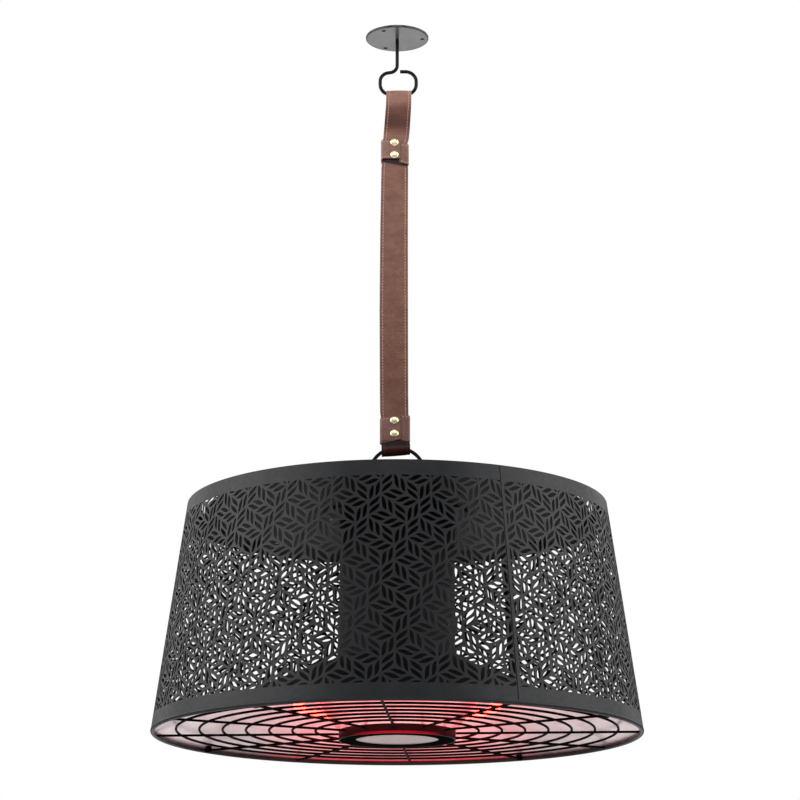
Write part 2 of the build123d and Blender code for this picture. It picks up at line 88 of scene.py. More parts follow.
def softbox(name, power, place, size):
    """Rectangular lamp that faces the heater."""
    data = bpy.data.lights.new(name, "AREA")
    data.shape = "RECTANGLE"
    data.size, data.size_y = size
    data.energy = power
    lamp = bpy.data.objects.new(name, data)
    lamp.location = place
    lamp.visible_camera = False
    lamp.rotation_mode = "QUATERNION"
    lamp.rotation_quaternion = (Vector(LAMP_TARGET) - Vector(place)).to_track_quat("-Z", "Y")
    bpy.context.scene.collection.objects.link(lamp)


def make_world():
    """White to look at, and dimmer where it lights the object."""
    world = bpy.data.worlds.new("studio")
    world.use_nodes = True
    nodes, links = world.node_tree.nodes, world.node_tree.links
    shown = nodes["Background"]
    lighting = nodes.new("ShaderNodeBackground")
    for background, strength in ((shown, 1.0), (lighting, ROOM_LIGHT)):
        background.inputs["Color"].default_value = (*WHITE, 1)
        background.inputs["Strength"].default_value = strength
    path = nodes.new("ShaderNodeLightPath")
    seen = nodes.new("ShaderNodeMath")
    seen.operation = "MAXIMUM"
    links.new(path.outputs["Is Camera Ray"], seen.inputs[0])
    links.new(path.outputs["Is Transmission Ray"], seen.inputs[1])
    mix = nodes.new("ShaderNodeMixShader")
    links.new(seen.outputs[0], mix.inputs["Fac"])
    links.new(lighting.outputs[0], mix.inputs[1])
    links.new(shown.outputs[0], mix.inputs[2])
    links.new(mix.outputs[0], nodes["World Output"].inputs["Surface"])
    bpy.context.scene.world = world
    bpy.context.scene.view_settings.view_transform = "Standard"


def make_stage():
    mesh = bpy.data.meshes.new("floor")
    half = FLOOR_SIDE / 2
    corners = [(-half, -half), (half, -half), (half, half), (-half, half)]
    mesh.from_pydata([(x, y, FLOOR_HEIGHT) for x, y in corners], [], [(0, 1, 2, 3)])
    floor = bpy.data.objects.new("floor", mesh)
    bpy.context.scene.collection.objects.link(floor)
    paint = Paint("floor_paint", roughness=0.8)
    paint.colour_by(paint.noise(3.0, detail=4), [(0.3, grey(0.86)), (0.7, grey(0.90))])
    mesh.materials.append(paint.material)


# Materials, with their coordinates in metres

def grey(level):
    return (level, level, level)


WHITE, BLACK = grey(1.0), grey(0.0)
NOISE_RANGE = (0.3, 0.7)    # where nearly all of a noise texture's values lie
FLAP_SLOPE = 0.19           # of the upper keeper's lower edge, towards +X


class Paint:
    """One node material, built up from a few kinds of step."""

    def __init__(self, name, roughness=0.5, metallic=0.0, **sockets):
        self.material = bpy.data.materials.new(name)
        self.material.use_nodes = True
        self.nodes = self.material.node_tree.nodes
        self.links = self.material.node_tree.links
        self.shader = self.nodes["Principled BSDF"]
        self.shader.inputs["Roughness"].default_value = roughness
        self.shader.inputs["Metallic"].default_value = metallic
        for socket, value in sockets.items():
            self.shader.inputs[socket.replace("_", " ")].default_value = value
        self.place = self.nodes.new("ShaderNodeTexCoord").outputs["Object"]

    def stretch(self, scale):
        """Object coordinates with another scale along each axis."""
        mapping = self.nodes.new("ShaderNodeMapping")
        mapping.inputs["Scale"].default_value = scale
        self.links.new(self.place, mapping.inputs["Vector"])
        return mapping.outputs["Vector"]

    def noise(self, scale, detail=2.0, rough=0.5, place=None):
        texture = self.nodes.new("ShaderNodeTexNoise")
        texture.inputs["Scale"].default_value = scale
        texture.inputs["Detail"].default_value = detail
        texture.inputs["Roughness"].default_value = rough
        self.links.new(place or self.place, texture.inputs["Vector"])
        return texture.outputs["Fac"]

    def cells(self, scale):
        """Distance from the nearest of many scattered points."""
        texture = self.nodes.new("ShaderNodeTexVoronoi")
        texture.inputs["Scale"].default_value = scale
        self.links.new(self.place, texture.inputs["Vector"])
        return texture.outputs["Distance"]

    def along(self, axis):
        """Coordinate along X, Y or Z."""
        split = self.nodes.new("ShaderNodeSeparateXYZ")
        self.links.new(self.place, split.inputs[0])
        return split.outputs[axis]

    def gap_to(self, places):
        """Distance from the nearest of several vertical lines."""
        flat = self.stretch((1, 1, 0))
        nearest = None
        for place in places:
            gap = self.nodes.new("ShaderNodeVectorMath")
            gap.operation = "DISTANCE"
            gap.inputs[1].default_value = (*place, 0)
            self.links.new(flat, gap.inputs[0])
            value = gap.outputs["Value"]
            nearest = self.calculate("MINIMUM", nearest, value) if nearest else value
        return nearest

    def calculate(self, operation, first, second=0.0):
        """Result of one sum; both sides can be a socket or a number."""
        node = self.nodes.new("ShaderNodeMath")
        node.operation = operation
        for socket, value in zip(node.inputs, (first, second)):
            if isinstance(value, float):
                socket.default_value = value
            else:
                self.links.new(value, socket)
        return node.outputs["Value"]

    def spread(self, value, low, high, to_low=0.0, to_high=1.0):
        """Map a range of a value onto another range."""
        node = self.nodes.new("ShaderNodeMapRange")
        node.inputs["From Min"].default_value = low
        node.inputs["From Max"].default_value = high
        node.inputs["To Min"].default_value = to_low
        node.inputs["To Max"].default_value = to_high
        self.links.new(value, node.inputs["Value"])
        return node.outputs["Result"]

    def ramp(self, value, stops):
        """Colours along a value, as (place, colour) stops."""
        node = self.nodes.new("ShaderNodeValToRGB")
        elements = node.color_ramp.elements
        for i, (place, colour) in enumerate(stops):
            element = elements[i] if i < len(elements) else elements.new(place)
            element.position = place
            element.color = (*colour, 1)
        self.links.new(value, node.inputs["Fac"])
        return node.outputs["Color"]

    def blend(self, kind, colour, *others):
        """Colours multiplied (MULTIPLY) or added up (ADD)."""
        for other in others:
            mix = self.nodes.new("ShaderNodeMix")
            mix.data_type = "RGBA"
            mix.blend_type = kind
            mix.inputs[0].default_value = 1.0
            # The node's colour sockets have the names of its number sockets, so they go by index
            self.links.new(colour, mix.inputs[6])
            self.links.new(other, mix.inputs[7])
            colour = mix.outputs[2]
        return colour

    def flap_shadow(self):
        """Darkens what lies under the upper keeper's slanted edge."""
        drift = self.calculate("MULTIPLY", self.along("X"), FLAP_SLOPE)
        level = self.calculate("ADD", self.along("Z"), drift)
        return self.ramp(self.spread(level, -0.190, -0.160),
                         [(0.33, WHITE), (0.41, (0.10, 0.05, 0.05)),
                          (0.80, (0.02, 0.01, 0.01)), (0.88, WHITE)])

    def colour(self, colour):
        self.links.new(colour, self.shader.inputs["Base Color"])

    def colour_by(self, value, stops):
        self.colour(self.ramp(value, stops))

    def roughness_by(self, value, low, high):
        self.links.new(self.spread(value, *NOISE_RANGE, low, high),
                       self.shader.inputs["Roughness"])

    def glow(self, colour, strength=1.0):
        self.links.new(colour, self.shader.inputs["Emission Color"])
        self.shader.inputs["Emission Strength"].default_value = strength

    def bump(self, value, distance, strength=1.0):
        """Relief, on top of any that is there."""
        node = self.nodes.new("ShaderNodeBump")
        node.inputs["Distance"].default_value = distance
        node.inputs["Strength"].default_value = strength
        self.links.new(value, node.inputs["Height"])
        previous = self.shader.inputs["Normal"].links
        if previous:
            self.links.new(previous[0].from_socket, node.inputs["Normal"])
        self.links.new(node.outputs["Normal"], self.shader.inputs["Normal"])


# Meshes

def steps(low, high, size):
    """Evenly spaced values from low up to, but not including, high."""
    count = max(1, round((high - low) / size))
    return [low + (high - low) * i / count for i in range(count)]


def tube_faces(count, size, base=0, closed=False):
    """Quads between a number of rings, each of the same size; closed joins last and first."""
    faces = []
    for i in range(count if closed else count - 1):
        here, there = base + i * size, base + (i + 1) % count * size
        for j in range(size):
            after = (j + 1) % size
            faces.append((here + j, here + after, there + after, there + j))
    return faces


def new_mesh(name, points, faces, sharp_angle):
    """Smooth mesh without unused points, with the corners over an angle kept sharp."""
    mesh = bpy.data.meshes.new(name)
    mesh.from_pydata(points, [], faces)
    build = bmesh.new()
    build.from_mesh(mesh)
    loose = [point for point in build.verts if not point.link_faces]
    bmesh.ops.delete(build, geom=loose, context="VERTS")
    bmesh.ops.recalc_face_normals(build, faces=build.faces)
    build.to_mesh(mesh)
    build.free()
    mesh.shade_smooth()
    mesh.set_sharp_from_angle(angle=math.radians(sharp_angle))
    return mesh


def add_piece(name, mesh, material, body):
    piece = bpy.data.objects.new(name, mesh)
    bpy.context.scene.collection.objects.link(piece)
    mesh.materials.clear()
    mesh.materials.append(material)
    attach(piece, body)
    return piece


# Shade

PATTERN_REPEATS = 29        # round the whole shade
PATTERN_EDGE = 17.77        # edge of one rhombus of the tiling
PATTERN_STEP = PATTERN_EDGE * math.sqrt(3) / 2
PATTERN_PITCH = 4 * PATTERN_STEP
PATTERN_ROW_SLANT = 235.3   # mouth plane to a row of star points, along the slant
PATTERN_ROW_EDGES = 1.5     # from one row to the next, in edges
PATTERN_BEARING = 5.3       # of one star point in that row
PATTERN_LEAN = 0.010        # sideways drift of the columns towards the mouth
# More rows and columns than a panel holds; what lies past its margins is clipped away
PATTERN_ROWS = range(-3, 12)
PATTERN_COLUMNS = range(-3, 20)
WEB = 2.4                   # metal left between two slots
TIP_SHORT, TIP_LONG = 0.9, 0.6      # share of a slot's short and long side in a rounded tip
TIP_STEPS = (0.0, 0.34, 0.67, 1.0)
SMALLEST_SLOT = 3.0         # square millimetres; smaller scraps of a slot stay closed
LOW_BAND = 21.0
HIGH_BAND = 19.0
PANEL_COUNT = 3
SEAM_BEARING = 27.0
SEAM_GAP = 0.5              # middle of a seam to the sheet's edge
START_MARGIN = 4.6          # plain edge of a panel at its own start
END_MARGIN = 0.9            # and at its other end, where the next panel starts
SLANT = math.hypot(SHADE_HEIGHT, CROWN_INSET)
PANEL_WIDTH = PATTERN_REPEATS * PATTERN_PITCH / PANEL_COUNT
GRAIN = 5.0                 # spacing of the points along a panel's edges
LOW_ROWS = (5, 10)          # rows of points in the plain bands, from the sheet's edges
HIGH_ROWS = (6, 12)
INSIDE_ONLY = 1             # kind of triangulation: faces inside the outlines
SAME_POINT = 1e-4
PANEL_SHARP, STRIP_SHARP, LEATHER_SHARP, RIVET_SHARP = 35, 40, 50, 60

STRIP_WIDTH = 4.8
STRIP_SHIFT = 1.7           # seam to the middle of the strip, along the shade
STRIP_SHEET = 1.0
STRIP_SEAT = 0.1            # sheet to the strip's outer face
STRIP_LOW, STRIP_HIGH = HEM + 1.0, SHADE_HEIGHT - 2.6
STRIP_STEP = 12.0
# Across the strip: share of its width, and of its thickness inwards
STRIP_SECTION = [(-0.5, 0.25), (-0.45, 0.0), (0.42, 0.0), (0.5, 0.25), (0.5, 1.0), (-0.5, 1.0)]


def leaf(corner, short, long):
    """Leaf-shaped slot in one half of a rhombus, given by a corner and two edge vectors."""
    along, across = short.normalized(), long.normalized()
    slope = abs(along.cross(across))
    inset = WEB / 2 / slope
    start = corner + (along + across) * inset
    short = along * (short.length - 2 * inset)
    long = across * (long.length - 2 * inset)
    corners = [start, start + short, start + short + long, start + long]
    points = []
    for i, point in enumerate(corners):
        before = corners[i - 1] - point
        after = corners[(i + 1) % 4] - point
        if before.dot(after) > 0:
            points.append(point)
            continue
        first = point + before * (TIP_SHORT if before.length < after.length else TIP_LONG)
        last = point + after * (TIP_SHORT if after.length < before.length else TIP_LONG)
        for t in TIP_STEPS:
            points.append(first * (1 - t) ** 2 + point * 2 * t * (1 - t) + last * t ** 2)
    return points


def leaves_of_cell(star):
    """The twelve slots of one cell of the tiling, under a star point."""
    up = Vector((0, PATTERN_EDGE))
    rise = Vector((PATTERN_STEP, PATTERN_EDGE / 2))
    fall = Vector((PATTERN_STEP, -PATTERN_EDGE / 2))
    low = star - up
    rhombi = [(low, up, rise), (star, rise, up), (star, up, -fall),
              (star, -fall, -rise), (low, rise, fall), (low, fall, -up)]
    slots = []
    for corner, halved, whole in rhombi:
        for share in (0.0, 0.5):
            slots.append(leaf(corner + halved * share, halved * 0.5, whole))
    return slots


def clip(points, axis, limit, sign):
    """Keep the part of a convex outline on one side of a straight line."""
    kept = []
    for i, point in enumerate(points):
        before = points[i - 1]
        inside, was_inside = sign * (point[axis] - limit) > 0, sign * (before[axis] - limit) > 0
        if inside != was_inside:
            share = (limit - before[axis]) / (point[axis] - before[axis])
            kept.append(before.lerp(point, share))
        if inside:
            kept.append(point)
    return kept


def outline_area(points):
    """Area of an outline, below zero where it runs clockwise."""
    return sum(points[i - 1].cross(points[i]) for i in range(len(points))) / 2


def panel_slots(start):
    """Every slot of one panel, in flat coordinates from its own start and the mouth."""
    first = (PATTERN_BEARING - start) / 360 * PATTERN_REPEATS % 1.0 * PATTERN_PITCH
    limits = [(0, START_MARGIN, 1), (0, PANEL_WIDTH - END_MARGIN, -1),
              (1, LOW_BAND, 1), (1, SLANT - HIGH_BAND, -1)]
    slots = []
    for row in PATTERN_ROWS:
        height = PATTERN_ROW_SLANT - row * PATTERN_ROW_EDGES * PATTERN_EDGE
        for column in PATTERN_COLUMNS:
            star = Vector((first + column * PATTERN_PITCH - row * PATTERN_STEP, height))
            for slot in leaves_of_cell(star):
                slot = [Vector((p.x + (PATTERN_ROW_SLANT - p.y) * PATTERN_LEAN, p.y))
                        for p in slot]
                for axis, limit, sign in limits:
                    slot = clip(slot, axis, limit, sign) if slot else slot
                if len(slot) < 3 or abs(outline_area(slot)) < SMALLEST_SLOT:
                    continue
                slots.append(slot if outline_area(slot) > 0 else slot[::-1])
    return slots


def perforated_sheet(start):
    """Points and triangles of the flat sheet between its slots."""
    width, low, high = PANEL_WIDTH, HEM / 2, SLANT
    edge = [Vector((x, low)) for x in steps(0, width, GRAIN)]
    edge += [Vector((width, y)) for y in steps(low, high, GRAIN)]
    edge += [Vector((width - x, high)) for x in steps(0, width, GRAIN)]
    edge += [Vector((0, high + low - y)) for y in steps(low, high, GRAIN)]
    points, loops = list(edge), [list(range(len(edge)))]
    for slot in panel_slots(start):
        loops.append(list(range(len(points), len(points) + len(slot))))
        points += slot
    for y in [low + row for row in LOW_ROWS] + [high - row for row in HIGH_ROWS]:
        points += [Vector((x, y)) for x in steps(GRAIN / 2, width - GRAIN / 2, GRAIN)]
    result = delaunay_2d_cdt(points, [], loops, INSIDE_ONLY, SAME_POINT, True)
    flat, faces, parents = result[0], result[2], result[5]
    # A triangle of the sheet lies in the first outline only, and in no slot
    return flat, [face for face, parent in zip(faces, parents) if parent == [0]]


def on_cone(x, slant, depth, start):
    """Place a point of the flat sheet on the shade, a depth under its outer face."""
    height = slant * SHADE_HEIGHT / SLANT
    radius = MOUTH_R - CROWN_INSET * height / SHADE_HEIGHT - depth
    turn = math.radians(start + 360 / PANEL_COUNT * x / PANEL_WIDTH)
    return Vector((radius * math.sin(turn), -radius * math.cos(turn), height - DROP)) * MM


def panel_mesh(start):
    flat, sheet = perforated_sheet(start)
    count = len(flat)
    points = []
    for depth in (0.0, SHEET):
        for point in flat:
            x = min(max(point.x, SEAM_GAP), PANEL_WIDTH - SEAM_GAP)
            points.append(on_cone(x, point.y, depth, start))
    faces = [tuple(face) for face in sheet]
    faces += [tuple(i + count for i in reversed(face)) for face in sheet]
    sides = set()
    for face in sheet:
        for i, last in enumerate(face):
            sides.add((face[i - 1], last))
    for first, last in sides:
        if (last, first) not in sides:
            faces.append((last, first, first + count, last + count))
    return new_mesh("shade_panel", points, faces, PANEL_SHARP)


def seam_strip(bearing):
    """Folded backing strip behind one seam, from the hem to the top flange."""
    points = []
    levels = steps(STRIP_LOW, STRIP_HIGH, STRIP_STEP) + [STRIP_HIGH]
    for level in levels:
        outside = MOUTH_R - CROWN_INSET * level / SHADE_HEIGHT - SHEET - STRIP_SEAT
        for share, depth in STRIP_SECTION:
            turn = math.radians(bearing) + (STRIP_SHIFT + share * STRIP_WIDTH) / outside
            radius = outside - depth * STRIP_SHEET
            x, y = radius * math.sin(turn), -radius * math.cos(turn)
            points.append(Vector((x, y, level - DROP)) * MM)
    size, count = len(STRIP_SECTION), len(levels)
    faces = tube_faces(count, size)
    faces += [tuple(range(size)), tuple(range((count - 1) * size, count * size))]
    return new_mesh("seam_strip", points, faces, STRIP_SHARP)


def make_shade(material, strip_material):
    for i in range(PANEL_COUNT):
        start = SEAM_BEARING + 360 / PANEL_COUNT * i
        piece = add_piece(f"perforated_panel_{i + 1}", panel_mesh(start), material,
                          "heater")
        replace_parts(piece, f"shade_panel_{i + 1}")
        strip = add_piece(f"seam_strip_{i + 1}", seam_strip(start), strip_material,
                          "heater")
        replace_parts(strip, "seam_strips")


# Leather

LAYER = 2.4                 # thickness of one layer of the strap
HOOK_LEVEL = -80.5          # axis of the hook's lowest run
UPPER_BEND_LEVEL = HOOK_LEVEL + 0.4
LOWER_BEND_LEVEL = -556.4
LOWER_BEND = 7.7            # radius of the wrap round the ring, to the middle of the leather
BEND_STEPS = 10
STRAP_STEP = 2.5
# The strap's lower end hangs lower on its left: slope, the height where it sets in, how
# far it takes to do so, and the place across the strap that stays level
LOWER_TILT = 0.08
TILT_START = -546.0
TILT_RUN = 10
TILT_MIDDLE = -2

# Left and right edge of the strap at each height, and the middle of its front layer
STRAP_EDGES = [(-70, -13.9, 18.6), (-96, -14.7, 18.3), (-128, -17.0, 16.4), (-141, -18.0, 15.2),
               (-149, -19.0, 13.1), (-173, -19.6, 13.0), (-183, -20.5, 14.2), (-268, -21.8, 13.8),
               (-375, -22.5, 13.8), (-480, -21.9, 13.9), (-509, -21.6, 14.2), (-520, -20.0, 14.4),
               (-545, -19.8, 14.5), (-553, -19.9, 16.3), (-580, -18.8, 16.3)]
STRAP_FRONT = [(-70, 3.6), (-82, 3.6), (-92, 2.9), (-104, 2.1), (-120, 1.35), (-131, 2.0),
               (-140, 2.3), (-150, 1.8), (-172, 1.6), (-182, 1.5), (-215, 1.35), (-300, 1.5),
               (-370, 1.35), (-450, 1.55), (-505, 1.35), (-515, 1.6), (-544, 1.6), (-551, 4.6),
               (-556.4, 7.7), (-580, 7.7)]

STITCH_INSET = 3.7          # edge of the strap to its sewing groove
STITCH_PITCH = 4.1
STITCH_LENGTH = 3.5
STITCH_R = 0.75
STITCH_FLATNESS = 0.75
STITCH_SIDES = 8
# Along a stitch: share of its length from the middle, and of its full radius
STITCH_SECTIONS = [(-0.5, 0.0), (-0.46, 0.55), (-0.36, 0.9), (0.0, 1.0), (0.36, 0.9),
                   (0.46, 0.55), (0.5, 0.0)]
STRAP_SEAT, KEEPER_SEAT = 0.72, 0.8     # height of the stitches, in halves of a layer

KEEPER_LAYER = 1.15
KEEPER_INNER = 3.75         # strap's middle plane to the middle of the inner layer
KEEPER_OUTER = 4.9
KEEPER_BACK = 4.7
KEEPER_FOLD = 2.0
KEEPER_INSET = 2.3          # edge of a keeper to its sewing groove
KEEPER_LAP = 0.8            # how far the inner layer reaches past the flap's end
# Left edge, right edge and flap's end across the strap, then heights of the upper and of the
# lower rim: at the start, the right edge, the back's left edge, the flap's left edge, its end
KEEPERS = {
    "upper_keeper": (-20.4, 14.4, 3.8, (-149.2, -150.3, -146.0, -144.7, -146.6),
                     (-175.6, -178.0, -177.5, -170.6, -170.6)),
    "lower_keeper": (-21.2, 15.6, 4.4, (-513.6, -513.8, -517.0, -517.2, -514.1),
                     (-545.6, -547.9, -550.3, -550.3, -545.1)),
}


def table_value(table, height, column=1, eased=False):
    """Value at a height, read between the rows of a table that runs downwards."""
    for above, below in zip(table, table[1:]):
        if height >= below[0]:
            share = (above[0] - height) / (above[0] - below[0])
            share = min(max(share, 0.0), 1.0)
            if eased:
                share = share * share * (3 - 2 * share)
            return above[column] + (below[column] - above[column]) * share
    return table[-1][column]


def strap_line():
    """Middle line of the strap's leather, round the hook and the ring, as (y, height)."""
    count = int((HOOK_LEVEL - LOWER_BEND_LEVEL) / STRAP_STEP)
    down = [HOOK_LEVEL - STRAP_STEP * i for i in range(1, count)]
    front = [(-table_value(STRAP_FRONT, height, eased=True), height) for height in down]
    top_r = table_value(STRAP_FRONT, HOOK_LEVEL, eased=True)
    turn = [math.pi * i / BEND_STEPS for i in range(BEND_STEPS + 1)]
    upper = [(top_r * math.cos(a), UPPER_BEND_LEVEL + top_r * math.sin(a)) for a in turn]
    lower = [(-LOWER_BEND * math.cos(a), LOWER_BEND_LEVEL - LOWER_BEND * math.sin(a))
             for a in turn]
    back = [(-y, height) for y, height in reversed(front)]
    return upper + front + lower + back


def strap_stations():
    """Left edge, right edge and outward direction at each step round the strap."""
    line = strap_line()
    stations = []
    for i, (y, height) in enumerate(line):
        before, after = line[i - 1], line[(i + 1) % len(line)]
        along = Vector((0, after[0] - before[0], after[1] - before[1])).normalized()
        outward = along.cross(Vector((1, 0, 0)))
        tilt = LOWER_TILT * min(max((TILT_START - height) / TILT_RUN, 0.0), 1.0)
        ends = []
        for column in (1, 2):
            x = table_value(STRAP_EDGES, height, column)
            ends.append(Vector((x, y, height + tilt * (x - TILT_MIDDLE))))
        stations.append((*ends, outward))
    return stations


def leather_section(width, thick, inset, crown):
    """Outline across a strip, as (distance from its first edge, height over its middle)."""
    rim = [(0.0, 0.0), (0.06, 0.5), (0.3, 0.86), (0.8, 1.0), (inset - 1.3, 1.0),
           (inset - 0.6, 0.8), (inset, 0.62), (inset + 0.6, 0.8), (inset + 1.4, 1.03)]
    rim_width, rim_height = rim[-1]
    raised = []
    for i in range(1, 8):
        bulge = crown * math.sin(math.pi * i / 8)
        raised.append((rim_width + (width - 2 * rim_width) * i / 8, rim_height + bulge))
    top = rim + raised + [(width - d, n) for d, n in reversed(rim)]
    under = [(width - 0.06, -0.5), (width - 0.8, -1.0), (0.8, -1.0), (0.06, -0.5)]
    return [(d, n * thick / 2) for d, n in top + under]


def strip_mesh(name, stations, thick, inset, crown=0.2, closed=False):
    """Leather strip with rounded edges and a sewing groove along both of them."""
    points = []
    for first, last, outward in stations:
        width = (last - first).length
        across = (last - first) / width
        for d, n in leather_section(width, thick, inset, crown):
            points.append((first + across * d + outward * n) * MM)
    count = len(stations)
    size = len(points) // count
    faces = tube_faces(count, size, closed=closed)
    if not closed:
        faces.append(tuple(range(size)))
        faces.append(tuple(reversed(range((count - 1) * size, count * size))))
    return new_mesh(name, points, faces, LEATHER_SHARP)


def add_stitch(points, faces, start, end, outward):
    """Short rounded thread between two points."""
    along = (end - start).normalized()
    side = along.cross(outward).normalized()
    faces += tube_faces(len(STITCH_SECTIONS), STITCH_SIDES, base=len(points))
    for share, size in STITCH_SECTIONS:
        middle = start + (end - start) * (share + 0.5)
        for i in range(STITCH_SIDES):
            a = 2 * math.pi * i / STITCH_SIDES
            offset = side * math.cos(a) + outward * math.sin(a) * STITCH_FLATNESS
            points.append((middle + offset * STITCH_R * size) * MM)


def stitch_row(points, faces, stations, inset, from_last, height, closed=False):
    """Row of stitches along one edge of a strip."""
    line = []
    for first, last, outward in stations + (stations[:1] if closed else []):
        across = (last - first).normalized()
        foot = last - across * inset if from_last else first + across * inset
        line.append((foot + outward * height, outward))
    lengths = [0.0]
    for (a, _), (b, _) in zip(line, line[1:]):
        lengths.append(lengths[-1] + (b - a).length)

    def place(distance):
        for i in range(1, len(line)):
            if distance <= lengths[i]:
                share = (distance - lengths[i - 1]) / (lengths[i] - lengths[i - 1])
                (foot, outward), (next_foot, next_outward) = line[i - 1], line[i]
                return foot.lerp(next_foot, share), outward.lerp(next_outward, share)
        return line[-1]

    next_start = STITCH_PITCH / 2
    while next_start + STITCH_LENGTH < lengths[-1]:
        start, outward = place(next_start)
        end, _ = place(next_start + STITCH_LENGTH)
        add_stitch(points, faces, start, end, outward)
        next_start += STITCH_PITCH


def stitches(name, rows, material, body):
    """One piece with the stitches of several rows."""
    points, faces = [], []
    for row in rows:
        stitch_row(points, faces, *row)
    mesh = bpy.data.meshes.new(name)
    mesh.from_pydata(points, [], faces)
    mesh.shade_smooth()
    return add_piece(name, mesh, material, body)


def keeper_stations(left, right, flap_end, tops, bottoms):
    """Path of a keeper from under its flap, round the back, to the flap's end."""
    knots = []      # across, depth, and place on the way round: 1 is the right edge, 4 the end
    right_bend, left_bend = right - KEEPER_FOLD, left + KEEPER_FOLD

    def run(first, last, depth, place, count):
        for i in range(count):
            share = i / (count - 1)
            knots.append((first + (last - first) * share, depth, place + share))

    def bend(x, layer, side, turn):
        """Round an edge, between a front layer and the back."""
        middle, reach = (KEEPER_BACK - layer) / 2, (KEEPER_BACK + layer) / 2
        return x + side * KEEPER_FOLD * math.sin(turn), middle - side * reach * math.cos(turn)

    inner_steps = range(1, BEND_STEPS)
    run(flap_end - KEEPER_LAP, right_bend, -KEEPER_INNER, 0.0, 7)
    for i in inner_steps:
        knots.append((*bend(right_bend, KEEPER_INNER, 1, math.pi * i / BEND_STEPS), 1.0))
    run(right_bend, left_bend, KEEPER_BACK, 1.0, 13)
    for i in inner_steps:
        knots.append((*bend(left_bend, KEEPER_OUTER, -1, math.pi * i / BEND_STEPS),
                      2.0 + i / BEND_STEPS))
    run(left_bend, flap_end, -KEEPER_OUTER, 3.0, 8)

    stations = []
    for i, (x, y, place) in enumerate(knots):
        before, after = knots[max(i - 1, 0)], knots[min(i + 1, len(knots) - 1)]
        along = Vector((after[0] - before[0], after[1] - before[1], 0)).normalized()
        outward = along.cross(Vector((0, 0, 1)))
        step = min(int(place), 3)
        rims = []
        for heights in (tops, bottoms):
            height = heights[step] + (heights[step + 1] - heights[step]) * (place - step)
            rims.append(Vector((x, y, height)))
        stations.append((*rims, outward))
    return stations


def make_strap(leather, keeper_leather, thread, keeper_thread):
    stations = strap_stations()
    mesh = strip_mesh("strap", stations, LAYER, STITCH_INSET, closed=True)
    band = add_piece("leather_strap", mesh, leather, "strap")
    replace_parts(band, "strap")
    seam = LAYER / 2 * STRAP_SEAT
    rows = [(stations, STITCH_INSET, side, seam, True) for side in (False, True)]
    stitches("strap_stitches", rows, thread, "strap")
    for name, sizes in KEEPERS.items():
        path = keeper_stations(*sizes)
        mesh = strip_mesh(name, path, KEEPER_LAYER, KEEPER_INSET, crown=0.1)
        piece = add_piece(f"leather_{name}", mesh, keeper_leather, "strap")
        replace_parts(piece, name)
        seam = KEEPER_LAYER / 2 * KEEPER_SEAT
        rows = [(path, KEEPER_INSET, side, seam) for side in (False, True)]
        stitches(f"{name}_stitches", rows, keeper_thread, "strap")


RIVET_X = -3.6
RIVET_LEVELS = (-148.5, -165.5, -520.9, -537.9)
RIVET_SEAT = 5.3            # strap's middle plane to the underside of a head
RIVET_CROWN = 2.0           # height of a dome
RIVET_SIDES = 40
# From under a head to near its crown: radius, and height over the seat
RIVET_PROFILE = [(1.9, 0.0), (4.9, 0.0), (5.15, 0.12), (5.25, 0.4), (5.22, 0.66), (5.0, 1.0),
                 (4.5, 1.3), (3.6, 1.58), (2.5, 1.8), (1.2, 1.95)]


def make_rivets(material):
    """Domed heads on both faces of the strap, each pair joined by its shank."""
    profile = [(radius, -RIVET_SEAT - height) for radius, height in reversed(RIVET_PROFILE)]
    profile += [(radius, RIVET_SEAT + height) for radius, height in RIVET_PROFILE]
    points, faces = [], []
    for level in RIVET_LEVELS:
        base = len(points)
        for radius, y in profile:
            for i in range(RIVET_SIDES):
                a = 2 * math.pi * i / RIVET_SIDES
                x, z = RIVET_X + radius * math.cos(a), level + radius * math.sin(a)
                points.append(Vector((x, y, z)) * MM)
        faces += tube_faces(len(profile), RIVET_SIDES, base=base)
        for side, ring in ((-1, 0), (1, len(profile) - 1)):
            points.append(Vector((RIVET_X, side * (RIVET_SEAT + RIVET_CROWN), level)) * MM)
            first = base + ring * RIVET_SIDES
            for j in range(RIVET_SIDES):
                faces.append((first + j, first + (j + 1) % RIVET_SIDES, len(points) - 1))
    mesh = new_mesh("rivets", points, faces, RIVET_SHARP)
    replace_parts(add_piece("domed_rivets", mesh, material, "strap"), "strap_rivets")


# Finishes

PLATE_HOLE_CIRCLE = 0.033   # metres from the plate's middle
PLATE_HOLE_BEARINGS = (-32.0, 88.0, 208.0)
STRAP_HEIGHTS = (-0.600, -0.070)    # range of the strap's ramps, in metres


def powder_coat(name, dark, light, roughness, shine):
    """Fine satin coat with a slight orange-peel grain."""
    paint = Paint(name, roughness=roughness, Specular_IOR_Level=shine)
    paint.colour_by(paint.noise(60.0, detail=6), [(0.35, dark), (0.65, light)])
    paint.roughness_by(paint.noise(220.0, detail=3), roughness - 0.05, roughness + 0.07)
    paint.bump(paint.noise(900.0, detail=2), 0.00006)
    paint.bump(paint.cells(1600.0), 0.00004)
    return paint.material


